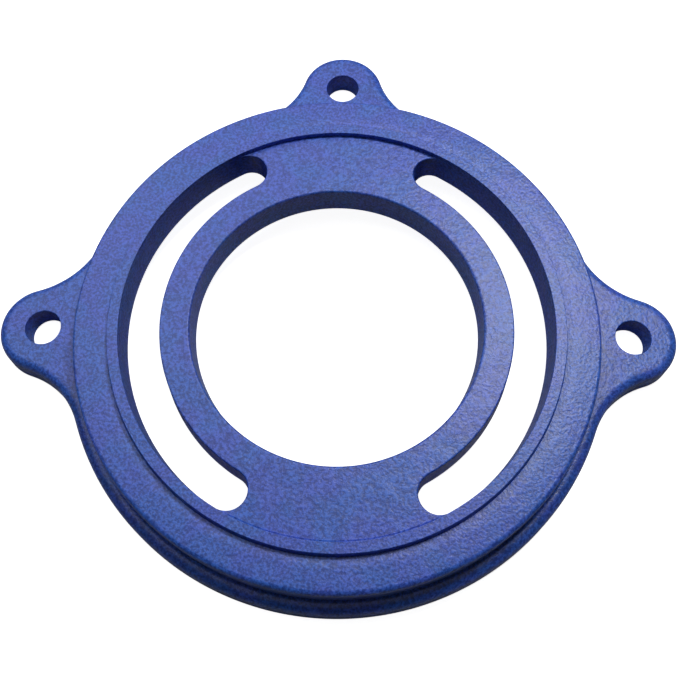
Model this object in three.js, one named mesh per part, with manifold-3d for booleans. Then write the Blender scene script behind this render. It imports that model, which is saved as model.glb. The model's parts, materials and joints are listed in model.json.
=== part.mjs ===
// Swivel base of a bench vice, in millimetres, +Z up.
//
// A cast-iron base bolts to the bench by its three lugs; the side without a lug faces the bench's
// front edge. The vice stands on the raised seat lip and turns about the bore. Its two clamping
// bolts drop through the arc slots into two slot nuts, which travel round the hollow underneath.
//
// The origin is at the middle of the footprint, on the bench. +X runs through the left and right
// lugs and +Y points to the rear lug.

import * as THREE from 'three';
import { mergeVertices } from 'three/addons/utils/BufferGeometryUtils.js';
import Module from 'manifold-3d';

const wasm = await Module();
wasm.setup();

// ---- Driving dimensions -------------------------------------------------------------------------

// Lugs: the bench bolts stand on one circle.
const BOLT_CIRCLE_R = 100;
const BOLT_HOLE_R = 6;
const LUG_TIP_R = 15.6;
const LUG_FILLET_R = 29.6;
const LUG_ANGLES = [0, Math.PI / 2, Math.PI];

// Heights above the bench.
const FLANGE_Z = 9;
const PLATE_UNDERSIDE_Z = 9;
const RING_Z = 19.4;
const PLATE_Z = 20;
const LIP_Z = 22;

// Radii about the swivel axis.
const BORE_R = 48;
const BORE_CHAMFER = 0.8;
const SLOT_R = 64.2;
const SLOT_WIDTH = 12.8;
const SLOT_LEDGE = 0.25; // between a slot and the lip's inner wall
const LIP_INNER_R = SLOT_R + SLOT_WIDTH / 2 + SLOT_LEDGE;
const LIP_OUTER_R = 74.6;
const LIP_FOOT_R = 75;
const RECESS_R = 78;
const RING_TOP_R = 84.8;
const RING_SHOULDER_R = 85.8;
const RING_SHOULDER_DROP = 1;
const RING_FOOT_R = 86.2;
const FLANGE_R = 91.6;

// Each slot spans 120 degrees between the centres of its round ends.
const SLOT_HALF_ANGLE = Math.PI / 3;

// Slot nuts: plates with a tapped M12 hole (10.2 mm core), guided by the hollow's outer wall.
const NUT_CORE_R = 5.1;
const NUT_OUTER_R = RECESS_R - 0.6;
const NUT_INNER_EDGE = 54.4;
const NUT_WIDTH = 28;
const NUT_CORNER = 1.5;
const NUT_THICKNESS = 8;
const NUT_GAP = 0.4; // below the plate, while no bolt pulls the nut up
const NUT_PARK_ANGLES = { slot_nut_rear: 0, slot_nut_front: Math.PI };

// How finely round shapes are divided.
const RING_SEGMENTS = 120;
const ARC_DIVISIONS = 10;
const SLOT_DIVISIONS = 12;

// The swivel axis stands off the footprint's middle, because only three sides have a lug.
const AXIS_Y = -(BOLT_CIRCLE_R + LUG_TIP_R - FLANGE_R) / 2;

// ---- Solids and geometries ----------------------------------------------------------------------

function solidFrom(geometry) {
  const bare = geometry.clone();
  bare.deleteAttribute('normal');
  bare.deleteAttribute('uv');
  const merged = mergeVertices(bare, 1e-4);
  return new wasm.Manifold(new wasm.Mesh({
    numProp: 3,
    vertProperties: merged.attributes.position.array,
    triVerts: new Uint32Array(merged.index.array),
  }));
}

function geometryFrom(solid) {
  const mesh = solid.getMesh();
  const geometry = new THREE.BufferGeometry();
  geometry.setAttribute('position', new THREE.BufferAttribute(mesh.vertProperties, 3));
  geometry.setIndex(new THREE.BufferAttribute(mesh.triVerts, 1));
  geometry.computeVertexNormals();
  return geometry;
}

function prism(shape, bottom, top, curveSegments) {
  const geometry = new THREE.ExtrudeGeometry(shape, { depth: top - bottom, bevelEnabled: false, curveSegments });
  return geometry.translate(0, 0, bottom);
}

// ---- Base casting -------------------------------------------------------------------------------

// The section of everything that is round about the swivel axis, as [radius, height].
function castingSection() {
  return [
    [BORE_R, PLATE_UNDERSIDE_Z],
    [RECESS_R, PLATE_UNDERSIDE_Z],
    [RECESS_R, 0],
    [FLANGE_R, 0],
    [FLANGE_R, FLANGE_Z],
    [RING_FOOT_R, FLANGE_Z],
    [RING_SHOULDER_R, RING_Z - RING_SHOULDER_DROP],
    [RING_TOP_R, RING_Z],
    [LIP_FOOT_R, RING_Z],
    [LIP_OUTER_R, LIP_Z],
    [LIP_INNER_R, LIP_Z],
    [LIP_INNER_R, PLATE_Z],
    [BORE_R + BORE_CHAMFER, PLATE_Z],
    [BORE_R, PLATE_Z - BORE_CHAMFER],
    [BORE_R, PLATE_UNDERSIDE_Z],
  ];
}

function castingRound() {
  const profile = castingSection().map(([radius, height]) => new THREE.Vector2(radius, height));
  return new THREE.LatheGeometry(profile, RING_SEGMENTS).rotateX(Math.PI / 2);
}

// A lug points along +X: a round tip, blended into the flange by a concave fillet on each side.
function lugShape() {
  const toFlange = FLANGE_R + LUG_FILLET_R;
  const toTip = LUG_TIP_R + LUG_FILLET_R;
  const filletX = (toFlange ** 2 - toTip ** 2 + BOLT_CIRCLE_R ** 2) / (2 * BOLT_CIRCLE_R);
  const filletY = Math.sqrt(toFlange ** 2 - filletX ** 2);
  const flangeAngle = Math.atan2(filletY, filletX);
  const tipAngle = Math.atan2(filletY, BOLT_CIRCLE_R - filletX);
  const rootR = RECESS_R + (FLANGE_R - RECESS_R) / 2;

  const shape = new THREE.Shape();
  shape.moveTo(rootR * Math.cos(flangeAngle), -rootR * Math.sin(flangeAngle));
  shape.absarc(filletX, -filletY, LUG_FILLET_R, Math.PI - flangeAngle, tipAngle, true);
  shape.absarc(BOLT_CIRCLE_R, 0, LUG_TIP_R, tipAngle - Math.PI, Math.PI - tipAngle, false);
  shape.absarc(filletX, filletY, LUG_FILLET_R, -tipAngle, flangeAngle - Math.PI, true);
  shape.lineTo(rootR * Math.cos(flangeAngle), rootR * Math.sin(flangeAngle));
  shape.lineTo(rootR, 0);
  shape.closePath();

  const hole = new THREE.Path();
  hole.absarc(BOLT_CIRCLE_R, 0, BOLT_HOLE_R, 0, 2 * Math.PI, false);
  shape.holes.push(hole);
  return shape;
}

// A slot on the +X side, with round ends, as an outline.
function slotShape() {
  const outerR = SLOT_R + SLOT_WIDTH / 2;
  const innerR = SLOT_R - SLOT_WIDTH / 2;
  const endX = SLOT_R * Math.cos(SLOT_HALF_ANGLE);
  const endY = SLOT_R * Math.sin(SLOT_HALF_ANGLE);
  const shape = new THREE.Shape();
  shape.absarc(0, 0, outerR, -SLOT_HALF_ANGLE, SLOT_HALF_ANGLE, false);
  shape.absarc(endX, endY, SLOT_WIDTH / 2, SLOT_HALF_ANGLE, SLOT_HALF_ANGLE + Math.PI, false);
  shape.absarc(0, 0, innerR, SLOT_HALF_ANGLE, -SLOT_HALF_ANGLE, true);
  shape.absarc(endX, -endY, SLOT_WIDTH / 2, Math.PI - SLOT_HALF_ANGLE, 2 * Math.PI - SLOT_HALF_ANGLE, false);
  return shape;
}

function baseCasting() {
  let casting = solidFrom(castingRound());
  for (const angle of LUG_ANGLES) {
    const lug = prism(lugShape(), 0, FLANGE_Z, ARC_DIVISIONS).rotateZ(angle);
    casting = casting.add(solidFrom(lug));
  }
  for (const angle of [0, Math.PI]) {
    const slot = prism(slotShape(), 0, LIP_Z, SLOT_DIVISIONS).rotateZ(angle);
    casting = casting.subtract(solidFrom(slot));
  }
  return geometryFrom(casting);
}

// ---- Slot nuts ----------------------------------------------------------------------------------

// The nut's plan, parked on the +Y side: its outer edge is an arc about the swivel axis, which
// slides on the hollow's wall and keeps the nut from turning with the bolt.
function nutShape() {
  const half = NUT_WIDTH / 2;
  const outerAngle = Math.asin((half - NUT_CORNER) / NUT_OUTER_R);
  const shoulder = Math.sqrt(NUT_OUTER_R ** 2 - half ** 2) - NUT_CORNER;
  const shape = new THREE.Shape();
  shape.moveTo(half - NUT_CORNER, NUT_INNER_EDGE);
  shape.lineTo(half, NUT_INNER_EDGE + NUT_CORNER);
  shape.lineTo(half, shoulder);
  shape.absarc(0, 0, NUT_OUTER_R, Math.PI / 2 - outerAngle, Math.PI / 2 + outerAngle, false);
  shape.lineTo(-half, shoulder);
  shape.lineTo(-half, NUT_INNER_EDGE + NUT_CORNER);
  shape.lineTo(NUT_CORNER - half, NUT_INNER_EDGE);
  shape.closePath();

  const hole = new THREE.Path();
  hole.absarc(0, SLOT_R, NUT_CORE_R, 0, 2 * Math.PI, false);
  shape.holes.push(hole);
  return shape;
}

function slotNut() {
  const top = PLATE_UNDERSIDE_Z - NUT_GAP;
  return prism(nutShape(), top - NUT_THICKNESS, top, ARC_DIVISIONS);
}

// ---- Assembly -----------------------------------------------------------------------------------

const bluePaint = new THREE.MeshStandardMaterial({ color: 0x3a4f9e, roughness: 0.55, metalness: 0 });
const zincPlate = new THREE.MeshStandardMaterial({ color: 0xb9bcc0, roughness: 0.4, metalness: 0.9 });

// Everything about the swivel axis hangs in one group, so that the axis is placed once.
const swivelAxis = new THREE.Group();
swivelAxis.position.set(0, AXIS_Y, 0);

const casting = new THREE.Mesh(baseCasting(), bluePaint);
casting.name = 'base_casting';
swivelAxis.add(casting);

for (const [name, angle] of Object.entries(NUT_PARK_ANGLES)) {
  const nut = new THREE.Mesh(slotNut(), zincPlate.clone());
  nut.name = name;
  nut.rotation.z = angle;
  swivelAxis.add(nut);
}

const group = new THREE.Group();
group.add(swivelAxis);

export default group;
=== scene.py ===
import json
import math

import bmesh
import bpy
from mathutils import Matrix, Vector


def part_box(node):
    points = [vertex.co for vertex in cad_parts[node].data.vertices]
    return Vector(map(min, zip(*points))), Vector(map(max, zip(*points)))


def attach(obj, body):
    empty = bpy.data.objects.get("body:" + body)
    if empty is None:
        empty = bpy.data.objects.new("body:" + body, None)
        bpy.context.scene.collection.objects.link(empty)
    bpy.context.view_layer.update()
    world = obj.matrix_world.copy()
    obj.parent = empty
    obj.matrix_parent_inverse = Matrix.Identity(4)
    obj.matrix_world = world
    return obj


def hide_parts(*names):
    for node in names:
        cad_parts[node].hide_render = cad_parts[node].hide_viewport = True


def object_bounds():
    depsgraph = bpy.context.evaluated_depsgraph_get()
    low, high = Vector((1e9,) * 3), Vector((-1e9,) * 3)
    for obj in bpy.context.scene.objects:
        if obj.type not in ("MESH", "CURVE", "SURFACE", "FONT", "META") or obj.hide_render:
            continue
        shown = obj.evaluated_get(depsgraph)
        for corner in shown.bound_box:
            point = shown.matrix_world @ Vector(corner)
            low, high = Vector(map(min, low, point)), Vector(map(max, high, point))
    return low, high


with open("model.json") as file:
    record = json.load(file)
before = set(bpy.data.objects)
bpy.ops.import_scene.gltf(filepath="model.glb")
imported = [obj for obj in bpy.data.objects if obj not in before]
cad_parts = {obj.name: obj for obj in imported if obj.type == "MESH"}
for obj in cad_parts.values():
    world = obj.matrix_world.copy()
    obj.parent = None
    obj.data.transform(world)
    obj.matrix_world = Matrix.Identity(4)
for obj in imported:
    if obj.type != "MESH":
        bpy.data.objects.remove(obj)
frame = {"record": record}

# Swivel base of a bench vice: the painted casting and its two slot nuts, with rounded edges,
# fillets, draft and threads, in the place of the plain CAD solids.
#
# Shapes are laid out in millimetres about the swivel axis and moved into the frame at the end.
# An outline is a closed line of (point, normal) pairs seen from above. A section is a function of
# one such pair that gives a list of (offset, height) pairs, and sweeping it round an outline makes
# a wall.

cad_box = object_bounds()

# ---- Sizes, in millimetres ----------------------------------------------------------------------

MM = 0.001
SWIVEL_AXIS = Vector(frame["record"]["behaviour"]["joints"][0]["pos_m"]).to_2d()
ORIGIN = Vector((0, 0))

# Heights above the bench.
LIP_Z = cad_box[1].z / MM
LIP_HEIGHT = 2.0
PLATE_Z = LIP_Z - LIP_HEIGHT
RING_DROP = 0.6
RING_Z = PLATE_Z - RING_DROP
RING_VALLEY = 0.32  # how far the ring falls from its crown to the lip's outer foot
RING_SLOPE = 0.03  # how far it falls from its crown to its outer shoulder
FLANGE_Z = 9.0
PLATE_UNDERSIDE_Z = 9.0

# Radii about the swivel axis.
FLANGE_R = (SWIVEL_AXIS.y - cad_box[0].y) / MM
BORE_R = 48.0
BORE_LOW_R = 47.4
SLOT_R = 64.2
SLOT_WIDTH = 12.9
SLOT_LEDGE = 0.06
LIP_INNER_R = SLOT_R + SLOT_WIDTH / 2 + SLOT_LEDGE
LIP_OUTER_R = 74.2
LIP_FOOT_R = 74.8
RECESS_R = 78.0
RING_CREST_R = (77.6, 82.0)  # where the ring's crown starts and ends
RING_EDGE_R = 86.0
RING_FOOT_R = 86.3
RING_LEDGE = 0.1
SLOT_HALF_ANGLE = math.pi / 3

# Lugs.
BOLT_CIRCLE_R = 100.0
BOLT_HOLE_R = 6.0
LUG_TIP_R = cad_box[1].x / MM - BOLT_CIRCLE_R
LUG_FILLET_R = 29.6
LUG_ANGLES = [0, math.pi / 2, math.pi]

# Edge radii and draft of the casting.
REAR_SHOULDER_ROUND = 0.9
FRONT_SHOULDER_ROUND = 1.9
CREST_ROUND = 24.0
FLANGE_ROUND = 2.9
COVE = 1.2
LIP_ROUND = 0.2
PLATE_ROUND = 0.8
SLOT_ROUND = 0.5
HOLE_ROUND = 0.3
UNDER_ROUND = 0.7
RECESS_FILLET = 1.8
WALL_DRAFT = 0.3
SKIRT_DRAFT = 0.7
SLOT_INNER_DRAFT = 1.0

# A section starts and ends on a flat face, this many edge radii away from its corner.
LEAD = 1.2
FLANGE_LEAD = 1.1  # less, because the ring's cove needs the room

# Relief groove at the lip's inner foot: its greatest width, and shares of that width.
SEAT_GROOVE = 0.6
GROOVE_DEPTH = 0.36
GROOVE_FOOT_ROUND = 0.2
GROOVE_RIM_ROUND = 0.5
GROOVE_LEAD = 1.6

# The shares of the gap between a slot and the lip that the groove and the slot's edge may take.
GROOVE_SHARE = 0.25
SLOT_EDGE_SHARE = 1 / 3

# Slot nuts: M12 by 1.75 thread.
NUT_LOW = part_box("slot_nut_rear")[0].z / MM
NUT_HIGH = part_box("slot_nut_rear")[1].z / MM
NUT_CLEARANCE = 0.6
NUT_OUTER_R = RECESS_R - NUT_CLEARANCE
NUT_INNER_EDGE = (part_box("slot_nut_rear")[0].y - SWIVEL_AXIS.y) / MM
NUT_WIDTH = 28.0
NUT_CORNER = 1.5
NUT_BEVEL = 0.6
THREAD_CORE_R = 5.1
THREAD_CREST_R = 6.0
THREAD_PITCH = 1.75
THREAD_MOUTH_R = 6.6
THREAD_FLAT = 0.15  # how far the flanks would overshoot, in thread depths, if not cut flat
THREAD_ROWS = 56

# How finely outlines and edges are divided.
STEP = 2.0
SMALL_STEP = 0.8
ARC_STEPS_MIN = 6
EDGE_STEPS = 6
BEVEL_STEPS = 3

# ---- Paint and plating --------------------------------------------------------------------------

# Sizes of the features in the paint, in millimetres, from the finest grain to wide colour clouds.
GRAIN = 0.85
PEEL = 1.6
MOTTLE = 2.6
SWELL = 7.0
CLOUD = 12.0

# Heights of the same features, in millimetres.
GRAIN_HEIGHT = 0.12
PEEL_HEIGHT = 0.07
SWELL_HEIGHT = 0.20

# Each pair is what a noise runs between. The speckle multiplies the paint's colour.
PAINT_BLUES = ((0.033, 0.082, 0.425), (0.043, 0.106, 0.490))
PAINT_TINTS = ((0.050, 0.084, 0.470), (0.027, 0.108, 0.450))
PAINT_SPECKLE = ((0.60, 0.62, 0.68), (1.50, 1.47, 1.38))
PAINT_ROUGHNESS = (0.32, 0.42)
TINT_SHARE = 0.5

DRAWN_LINE = 4.0
DRAWN_LINE_HEIGHT = 0.03
DRAWN_STRETCH = 12
STAIN = 5.0
ZINC_TINTS = ((0.55, 0.56, 0.60), (0.72, 0.70, 0.64))
ZINC_STREAKS = ((0.8, 0.8, 0.8), (1, 1, 1))
ZINC_ROUGHNESS = (0.28, 0.5)
STREAK_SHARE = 0.6

# ---- Stage, lamps and camera, in metres and degrees ---------------------------------------------

FLOOR_HALF = 4.0
FLOOR_DROP = 0.2 * MM
FLOOR_SHADE = 0.8
FLOOR_GLOW = 0.94
FLOOR_ROUGHNESS = 0.9
BOUNCE_DROP = 0.4 * MM
BOUNCE_SHADE = 0.4
BACKDROP_SHADE = 0.94

LAMP_DISTANCE = 0.7
LAMPS = {  # azimuth (0 is behind the base, 90 on its right), elevation, size, watts
    "key": (38, 62, 0.15, 2.3),
    "top": (0, 84, 0.5, 0.58),
    "rear": (345, 44, 0.5, 1.0),
    "left": (305, 56, 0.4, 0.95),
}

CAMERA_PLACE = Vector((0.0041, -0.1107, 0.2637))
CAMERA_TARGET = Vector((0.0008, -0.0112, 0))
CAMERA_ROLL = -0.78
CAMERA_LENS = 42.8
CAMERA_SENSOR = 36


# ---- Outlines and sections ----------------------------------------------------------------------

def polar(radius, angle):
    return Vector((radius * math.cos(angle), radius * math.sin(angle)))


def arc(centre, radius, start, end, step=STEP, facing=1):
    """(point, normal) pairs along an arc, without its last point. Facing -1 turns normals in."""
    count = max(ARC_STEPS_MIN, math.ceil(abs(radius * (end - start)) / step))
    angles = [start + (end - start) * i / count for i in range(count)]
    return [(centre + polar(radius, angle), polar(facing, angle)) for angle in angles]


def circle(radius, centre=ORIGIN, step=STEP):
    return arc(centre, radius, 0, 2 * math.pi, step)


def flange_outline():
    """The flange and its three lugs, each blended in by a concave fillet on either side."""
    to_flange = FLANGE_R + LUG_FILLET_R
    to_tip = LUG_TIP_R + LUG_FILLET_R
    fillet_x = (to_flange ** 2 - to_tip ** 2 + BOLT_CIRCLE_R ** 2) / (2 * BOLT_CIRCLE_R)
    fillet_y = math.sqrt(to_flange ** 2 - fillet_x ** 2)
    flange_angle = math.atan2(fillet_y, fillet_x)
    tip_angle = math.atan2(fillet_y, BOLT_CIRCLE_R - fillet_x)
    outline = []
    for lug, next_lug in zip(LUG_ANGLES, LUG_ANGLES[1:] + [2 * math.pi]):
        before = polar(to_flange, lug - flange_angle)
        after = polar(to_flange, lug + flange_angle)
        tip = polar(BOLT_CIRCLE_R, lug)
        outline += arc(before, LUG_FILLET_R, lug + math.pi - flange_angle, lug + tip_angle,
                       facing=-1)
        outline += arc(tip, LUG_TIP_R, lug + tip_angle - math.pi, lug + math.pi - tip_angle,
                       SMALL_STEP)
        outline += arc(after, LUG_FILLET_R, lug - tip_angle, lug + flange_angle - math.pi,
                       facing=-1)
        outline += arc(ORIGIN, FLANGE_R, lug + flange_angle, next_lug - flange_angle)
    return outline


def slot_outline(middle):
    """An arc slot with round ends; its normals point into the metal."""
    low, high = middle - SLOT_HALF_ANGLE, middle + SLOT_HALF_ANGLE
    half = SLOT_WIDTH / 2
    outline = arc(ORIGIN, SLOT_R + half, low, high)
    outline += arc(polar(SLOT_R, high), half, high, high + math.pi, SMALL_STEP)
    outline += arc(ORIGIN, SLOT_R - half, high, low, facing=-1)
    outline += arc(polar(SLOT_R, low), half, low + math.pi, low + 2 * math.pi, SMALL_STEP)
    return outline


def rounded(corners, steps=EDGE_STEPS):
    """A line through (x, y, radius) corners, with an arc at each corner that has a radius."""
    line = []
    for i, (x, y, radius) in enumerate(corners):
        corner = Vector((x, y))
        if not radius:
            line.append(corner)
            continue
        back = (Vector(corners[i - 1][:2]) - corner).normalized()
        ahead = (Vector(corners[(i + 1) % len(corners)][:2]) - corner).normalized()
        half = back.angle(ahead) / 2
        centre = corner + (back + ahead).normalized() * radius / math.sin(half)
        first = corner + back * radius / math.tan(half) - centre
        turn = first.angle_signed(corner + ahead * radius / math.tan(half) - centre)
        line += [centre + Matrix.Rotation(-turn * k / steps, 2) @ first for k in range(steps + 1)]
    return line


# ---- Walls and faces ----------------------------------------------------------------------------

def sweep(bm, outline, section):
    """Makes a wall and returns its first and last edge loops."""
    columns = []
    for point, normal in outline:
        places = [(point + normal * offset, height) for offset, height in section(point, normal)]
        columns.append([bm.verts.new((*place, height)) for place, height in places])
    pairs = list(zip(columns, columns[1:] + columns[:1]))
    for left, right in pairs:
        for low in range(len(left) - 1):
            bm.faces.new((left[low], right[low], right[low + 1], left[low + 1]))
    first = [bm.edges.get((left[0], right[0])) for left, right in pairs]
    last = [bm.edges.get((left[-1], right[-1])) for left, right in pairs]
    return first, last


def fill(bm, *loops):
    """Closes a flat face between an outer loop and the holes in it."""
    edges = [edge for loop in loops for edge in loop]
    bmesh.ops.triangle_fill(bm, edges=edges, use_beauty=True)


def finished(bm, name, turn=0.0):
    """Turns the laid-out shape about the swivel axis, moves it into the frame and makes the object.

    Its normals follow the larger faces, so that flat faces look flat up to their rounded edges.
    """
    turned = Matrix.Rotation(turn, 4, "Z") @ Matrix.Scale(MM, 4)
    bm.transform(Matrix.Translation(SWIVEL_AXIS.to_3d()) @ turned)
    bmesh.ops.recalc_face_normals(bm, faces=bm.faces)
    mesh = bpy.data.meshes.new(name)
    bm.to_mesh(mesh)
    bm.free()
    mesh.shade_smooth()
    piece = bpy.data.objects.new(name, mesh)
    bpy.context.collection.objects.link(piece)
    normals = piece.modifiers.new("even_normals", "WEIGHTED_NORMAL")
    normals.weight = 100
    normals.keep_sharp = True
    return piece


# ---- Base casting -------------------------------------------------------------------------------

def slot_gap(point):
    """How far a point on the lip's inner wall is from the nearer slot."""
    x, y = abs(point.x), abs(point.y)
    if math.atan2(y, x) < SLOT_HALF_ANGLE:
        return SLOT_LEDGE
    end = polar(SLOT_R, SLOT_HALF_ANGLE)
    return (Vector((x, y)) - end).length - SLOT_WIDTH / 2


def ring_section(_, direction):
    """From the flange's top over the ring's low crown and the seat lip to the plate.

    The ring's outer shoulder is widest at the front. The groove narrows beside a slot.
    """
    groove = min(SEAT_GROOVE, slot_gap(direction * LIP_INNER_R) * GROOVE_SHARE)
    frontness = max(0, -direction.y)
    shoulder = REAR_SHOULDER_ROUND + (FRONT_SHOULDER_ROUND - REAR_SHOULDER_ROUND) * frontness
    return rounded([
        (RING_FOOT_R + COVE + RING_LEDGE, FLANGE_Z, 0),
        (RING_FOOT_R, FLANGE_Z, COVE),
        (RING_EDGE_R, RING_Z - RING_SLOPE, shoulder),
        (RING_CREST_R[1], RING_Z, CREST_ROUND),
        (RING_CREST_R[0], RING_Z, CREST_ROUND),
        (LIP_FOOT_R, RING_Z - RING_VALLEY, LIP_ROUND),
        (LIP_OUTER_R, LIP_Z, LIP_ROUND),
        (LIP_INNER_R, LIP_Z, LIP_ROUND),
        (LIP_INNER_R, PLATE_Z - groove * GROOVE_DEPTH, groove * GROOVE_FOOT_ROUND),
        (LIP_INNER_R - groove, PLATE_Z, groove * GROOVE_RIM_ROUND),
        (LIP_INNER_R - groove * GROOVE_LEAD, PLATE_Z, 0),
    ])


def slot_section(point, _):
    """From the plate's top down through a slot, whose inner wall leans more than its outer wall."""
    edge = min(SLOT_ROUND, (LIP_INNER_R - point.length) * SLOT_EDGE_SHARE)
    inward = (SLOT_R + SLOT_WIDTH / 2 - point.length) / SLOT_WIDTH
    draft = WALL_DRAFT + (SLOT_INNER_DRAFT - WALL_DRAFT) * inward
    return rounded([
        (edge * LEAD, PLATE_Z, 0),
        (0, PLATE_Z, edge),
        (-draft, PLATE_UNDERSIDE_Z, UNDER_ROUND),
        (UNDER_ROUND, PLATE_UNDERSIDE_Z, 0),
    ])


def bore_section(*_):
    """From the plate's top down the bore to the plate's underside."""
    return rounded([
        (BORE_R + PLATE_ROUND * LEAD, PLATE_Z, 0),
        (BORE_R, PLATE_Z, PLATE_ROUND),
        (BORE_LOW_R, PLATE_UNDERSIDE_Z, UNDER_ROUND),
        (BORE_LOW_R + UNDER_ROUND * LEAD, PLATE_UNDERSIDE_Z, 0),
    ])


def recess_section(*_):
    """From the plate's underside down the hollow's outer wall to the bench."""
    return rounded([
        (RECESS_R - RECESS_FILLET * LEAD, PLATE_UNDERSIDE_Z, 0),
        (RECESS_R, PLATE_UNDERSIDE_Z, RECESS_FILLET),
        (RECESS_R + WALL_DRAFT, 0, UNDER_ROUND),
        (RECESS_R + WALL_DRAFT + UNDER_ROUND * LEAD, 0, 0),
    ])


def skirt_section(*_):
    """From the bench up the flange's outer wall to its top."""
    return rounded([
        (-UNDER_ROUND * LEAD, 0, 0),
        (0, 0, UNDER_ROUND),
        (-SKIRT_DRAFT, FLANGE_Z, FLANGE_ROUND),
        (-SKIRT_DRAFT - FLANGE_ROUND * FLANGE_LEAD, FLANGE_Z, 0),
    ])


def lug_hole_section(*_):
    """From a lug's top down its bolt hole to the bench."""
    return rounded([
        (HOLE_ROUND * LEAD, FLANGE_Z, 0),
        (0, FLANGE_Z, HOLE_ROUND),
        (0, 0, HOLE_ROUND),
        (HOLE_ROUND * LEAD, 0, 0),
    ])


def base_casting():
    bm = bmesh.new()
    about_axis = [(ORIGIN, normal) for _, normal in circle(FLANGE_R)]
    ring_foot, plate_rim = sweep(bm, about_axis, ring_section)
    bore_top, bore_low = sweep(bm, about_axis, bore_section)
    recess_top, recess_low = sweep(bm, about_axis, recess_section)
    skirt_low, skirt_top = sweep(bm, flange_outline(), skirt_section)
    slots = [sweep(bm, slot_outline(middle), slot_section) for middle in (0, math.pi)]
    holes = []
    for angle in LUG_ANGLES:
        outline = circle(BOLT_HOLE_R, polar(BOLT_CIRCLE_R, angle), SMALL_STEP)
        holes.append(sweep(bm, outline, lug_hole_section))
    fill(bm, plate_rim, bore_top, *[top for top, _ in slots])
    fill(bm, skirt_top, ring_foot, *[top for top, _ in holes])
    fill(bm, recess_top, bore_low, *[low for _, low in slots])
    fill(bm, skirt_low, recess_low, *[low for _, low in holes])
    return finished(bm, "swivel_base")


# ---- Slot nuts ----------------------------------------------------------------------------------

def nut_outline():
    """The nut's plan on the +Y side: a plate whose outer edge is an arc about the swivel axis."""
    half = NUT_WIDTH / 2
    arc_angle = math.asin((half - NUT_CORNER) / NUT_OUTER_R)
    shoulder = math.sqrt(NUT_OUTER_R ** 2 - half ** 2)
    corners = [(half, NUT_INNER_EDGE, NUT_CORNER), (half, shoulder, NUT_CORNER)]
    outer_edge = arc(ORIGIN, NUT_OUTER_R, math.pi / 2 - arc_angle, math.pi / 2 + arc_angle)
    corners += [(*point, 0) for point, _ in outer_edge]
    corners += [(-half, shoulder, NUT_CORNER), (-half, NUT_INNER_EDGE, NUT_CORNER)]
    line = rounded(corners)
    outline = []
    for i, point in enumerate(line):
        along = line[(i + 1) % len(line)] - line[i - 1]
        outline.append((point, Vector((along.y, -along.x)).normalized()))
    return outline


def nut_section(*_):
    """From the nut's underside up its outer wall to its top."""
    return rounded([
        (-NUT_BEVEL * LEAD, NUT_LOW, 0),
        (0, NUT_LOW, NUT_BEVEL),
        (0, NUT_HIGH, NUT_BEVEL),
        (-NUT_BEVEL * LEAD, NUT_HIGH, 0),
    ], BEVEL_STEPS)


def thread_section(_, direction):
    """The tapped hole at one angle: a right-hand thread with a countersunk mouth at both ends."""
    turn = math.atan2(direction.y, direction.x) / (2 * math.pi)
    section = []
    for row in range(THREAD_ROWS + 1):
        height = NUT_LOW + (NUT_HIGH - NUT_LOW) * row / THREAD_ROWS
        wave = abs(2 * ((height / THREAD_PITCH - turn) % 1) - 1)
        depth = min(1, max(0, (1 + 2 * THREAD_FLAT) * wave - THREAD_FLAT))
        thread = THREAD_CORE_R + (THREAD_CREST_R - THREAD_CORE_R) * depth
        mouth = THREAD_MOUTH_R - min(height - NUT_LOW, NUT_HIGH - height)
        section.append((max(thread, mouth) - THREAD_CREST_R, height))
    return section


def slot_nut(name, turn):
    bm = bmesh.new()
    centre = Vector((0, SLOT_R))
    low, high = sweep(bm, nut_outline(), nut_section)
    thread_low, thread_high = sweep(bm, circle(THREAD_CREST_R, centre, SMALL_STEP), thread_section)
    fill(bm, low, thread_low)
    fill(bm, high, thread_high)
    return finished(bm, name, turn)


# ---- Materials ----------------------------------------------------------------------------------

def feed(tree, socket, value):
    """Gives a socket a plain value, or links another node's output socket to it."""
    if isinstance(value, bpy.types.NodeSocket):
        tree.links.new(value, socket)
    else:
        socket.default_value = value


def node(tree, kind, settings=None, **inputs):
    """Adds a shader node. An input is a plain value or another node's output socket."""
    made = tree.nodes.new(kind)
    for name, value in (settings or {}).items():
        setattr(made, name, value)
    for name, value in inputs.items():
        feed(tree, made.inputs[name.replace("_", " ")], value)
    return made


def new_material(name):
    material = bpy.data.materials.new(name)
    material.use_nodes = True
    tree = material.node_tree
    place = node(tree, "ShaderNodeTexCoord").outputs["Object"]
    return material, tree, place, tree.nodes["Principled BSDF"]


def noise(tree, place, size, detail=2.0, roughness=0.5):
    """A noise whose features are size millimetres across."""
    return node(tree, "ShaderNodeTexNoise", Vector=place, Scale=1 / (size * MM), Detail=detail,
                Roughness=roughness).outputs["Fac"]


def between(tree, factor, low, high, start=0.3, end=0.7):
    """A colour ramp from one colour to another over a stretch of a noise."""
    ramp = node(tree, "ShaderNodeValToRGB", Fac=factor)
    first, last = ramp.color_ramp.elements
    first.position, last.position = start, end
    first.color, last.color = (*low, 1), (*high, 1)
    return ramp.outputs["Color"]


def mixed(tree, factor, first, second, blend="MIX"):
    """Mixes two colours. The node's factor and colours are its inputs 0, 6 and 7."""
    made = tree.nodes.new("ShaderNodeMix")
    made.data_type = "RGBA"
    made.blend_type = blend
    for index, value in ((0, factor), (6, first), (7, second)):
        feed(tree, made.inputs[index], value)
    return made.outputs[2]


def ranged(tree, factor, low, high):
    return node(tree, "ShaderNodeMapRange", Value=factor, To_Min=low, To_Max=high).outputs["Result"]


def bumped(tree, height, distance, under=None):
    """Bumps distance millimetres high, on top of the bumps under them."""
    extra = {"Normal": under} if under else {}
    return node(tree, "ShaderNodeBump", Height=height, Distance=distance * MM,
                **extra).outputs["Normal"]


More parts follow.
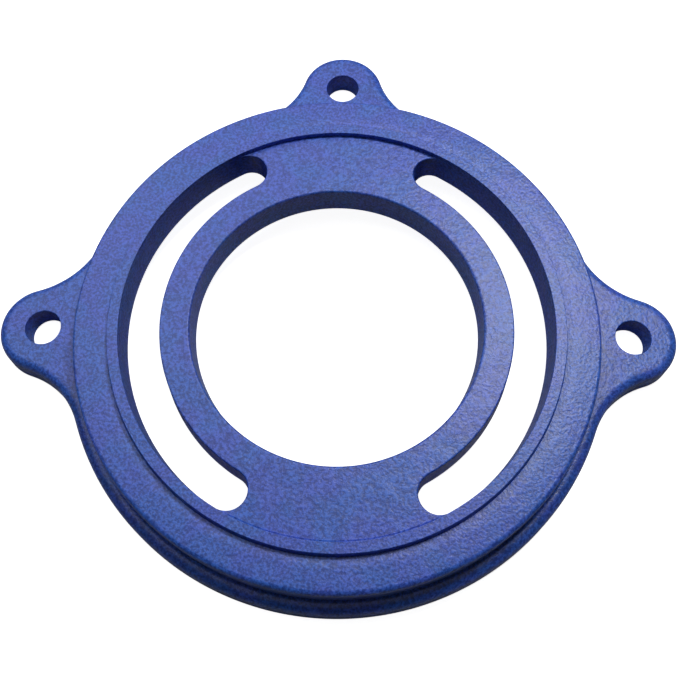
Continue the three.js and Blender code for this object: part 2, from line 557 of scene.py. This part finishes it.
def blue_paint():
    """Semi-matt blue enamel over a sand-cast surface: grainy, pebbled and a little uneven."""
    material, tree, place, shader = new_material("blue_paint")
    grain = noise(tree, place, GRAIN, roughness=0.6)
    mottle = noise(tree, place, MOTTLE, detail=3.0, roughness=0.6)
    cloud = noise(tree, place, CLOUD)
    blue = between(tree, mottle, *PAINT_BLUES)
    tint = between(tree, cloud, *PAINT_TINTS, start=0.4, end=0.6)
    speckle = between(tree, grain, *PAINT_SPECKLE, start=0.39, end=0.61)
    base = mixed(tree, TINT_SHARE, blue, tint)
    feed(tree, shader.inputs["Base Color"], mixed(tree, 1.0, base, speckle, "MULTIPLY"))
    feed(tree, shader.inputs["Roughness"], ranged(tree, mottle, *PAINT_ROUGHNESS))
    swell = bumped(tree, noise(tree, place, SWELL), SWELL_HEIGHT)
    peel = bumped(tree, noise(tree, place, PEEL, detail=1.0), PEEL_HEIGHT, under=swell)
    feed(tree, shader.inputs["Normal"], bumped(tree, grain, GRAIN_HEIGHT, under=peel))
    return material


def zinc_plate():
    """Bright zinc over sawn steel: fine drawn lines, slight yellow and blue tints, and stains."""
    material, tree, place, shader = new_material("zinc_plate")
    stretched = node(tree, "ShaderNodeMapping", Vector=place,
                     Scale=(1, DRAWN_STRETCH, 1)).outputs["Vector"]
    lines = noise(tree, stretched, DRAWN_LINE, detail=6.0, roughness=0.7)
    stain = noise(tree, place, STAIN, detail=4.0)
    tint = between(tree, stain, *ZINC_TINTS)
    streak = between(tree, lines, *ZINC_STREAKS)
    feed(tree, shader.inputs["Base Color"], mixed(tree, STREAK_SHARE, tint, streak, "MULTIPLY"))
    shader.inputs["Metallic"].default_value = 1.0
    feed(tree, shader.inputs["Roughness"], ranged(tree, lines, *ZINC_ROUGHNESS))
    feed(tree, shader.inputs["Normal"], bumped(tree, lines, DRAWN_LINE_HEIGHT))
    return material


def floor_paint(name, shade, glow):
    """Plain matt white that may shine a little by itself."""
    material, _, _, shader = new_material(name)
    shader.inputs["Base Color"].default_value = (shade, shade, shade, 1)
    shader.inputs["Roughness"].default_value = FLOOR_ROUGHNESS
    shader.inputs["Emission Color"].default_value = (1, 1, 1, 1)
    shader.inputs["Emission Strength"].default_value = glow
    return material


# ---- Stage, light and camera --------------------------------------------------------------------

def floor(name, drop, shade, glow):
    """A white floor a little below the object's foot."""
    bm = bmesh.new()
    bmesh.ops.create_grid(bm, x_segments=1, y_segments=1, size=FLOOR_HALF)
    mesh = bpy.data.meshes.new(name)
    bm.to_mesh(mesh)
    bm.free()
    mesh.materials.append(floor_paint(name, shade, glow))
    made = bpy.data.objects.new(name, mesh)
    made.location.z = cad_box[0].z - drop
    bpy.context.collection.objects.link(made)
    return made


def stage():
    """The white floor that is seen, and under it a duller one that throws light back up."""
    seen = floor("floor", FLOOR_DROP, FLOOR_SHADE, FLOOR_GLOW)
    seen.visible_diffuse = False
    seen.visible_glossy = False
    seen.visible_shadow = False
    bounce = floor("bounce", BOUNCE_DROP, BOUNCE_SHADE, glow=0.0)
    bounce.visible_camera = False


def area_light(name, azimuth, elevation, size, watts):
    """A square soft light that shines on the middle of the plate."""
    lamp = bpy.data.lights.new(name, "AREA")
    lamp.size = size
    lamp.energy = watts
    light = bpy.data.objects.new(name, lamp)
    level = polar(math.cos(math.radians(elevation)), math.radians(90 - azimuth))
    towards = Vector((level.x, level.y, math.sin(math.radians(elevation))))
    light.location = SWIVEL_AXIS.to_3d() + Vector((0, 0, PLATE_Z * MM)) + towards * LAMP_DISTANCE
    light.rotation_euler = towards.to_track_quat("Z", "Y").to_euler()
    bpy.context.collection.objects.link(light)


def backdrop():
    """A pale wall behind the floor, which is seen but gives no light."""
    world = bpy.data.worlds.new("backdrop")
    bpy.context.scene.world = world
    world.use_nodes = True
    background = world.node_tree.nodes["Background"]
    shade = BACKDROP_SHADE
    background.inputs["Color"].default_value = (shade, shade, shade, 1)
    for ray in ("diffuse", "glossy", "transmission", "scatter"):
        setattr(world.cycles_visibility, ray, False)


def camera():
    """Looks down on the base from the front, a little to the right of the swivel axis."""
    data = bpy.data.cameras.new("camera")
    data.sensor_width = CAMERA_SENSOR
    data.lens = CAMERA_LENS
    eye = bpy.data.objects.new("camera", data)
    eye.location = CAMERA_PLACE
    roll = Matrix.Rotation(math.radians(CAMERA_ROLL), 3, "Z")
    facing = (CAMERA_PLACE - CAMERA_TARGET).to_track_quat("Z", "Y").to_matrix()
    eye.rotation_euler = (facing @ roll).to_euler()
    bpy.context.collection.objects.link(eye)
    bpy.context.scene.camera = eye


bpy.context.scene.view_settings.view_transform = "Standard"
camera()
stage()
backdrop()
for name, lamp in LAMPS.items():
    area_light(name, *lamp)

# ---- Pieces -------------------------------------------------------------------------------------

paint = blue_paint()
zinc = zinc_plate()

casting = base_casting()
casting.data.materials.append(paint)
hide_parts("base_casting")
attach(casting, "base")

for side, turn in (("rear", 0.0), ("front", math.pi)):
    nut = slot_nut(f"clamp_nut_{side}", turn)
    nut.data.materials.append(zinc)
    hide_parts(f"slot_nut_{side}")
    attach(nut, f"{side}_nut")
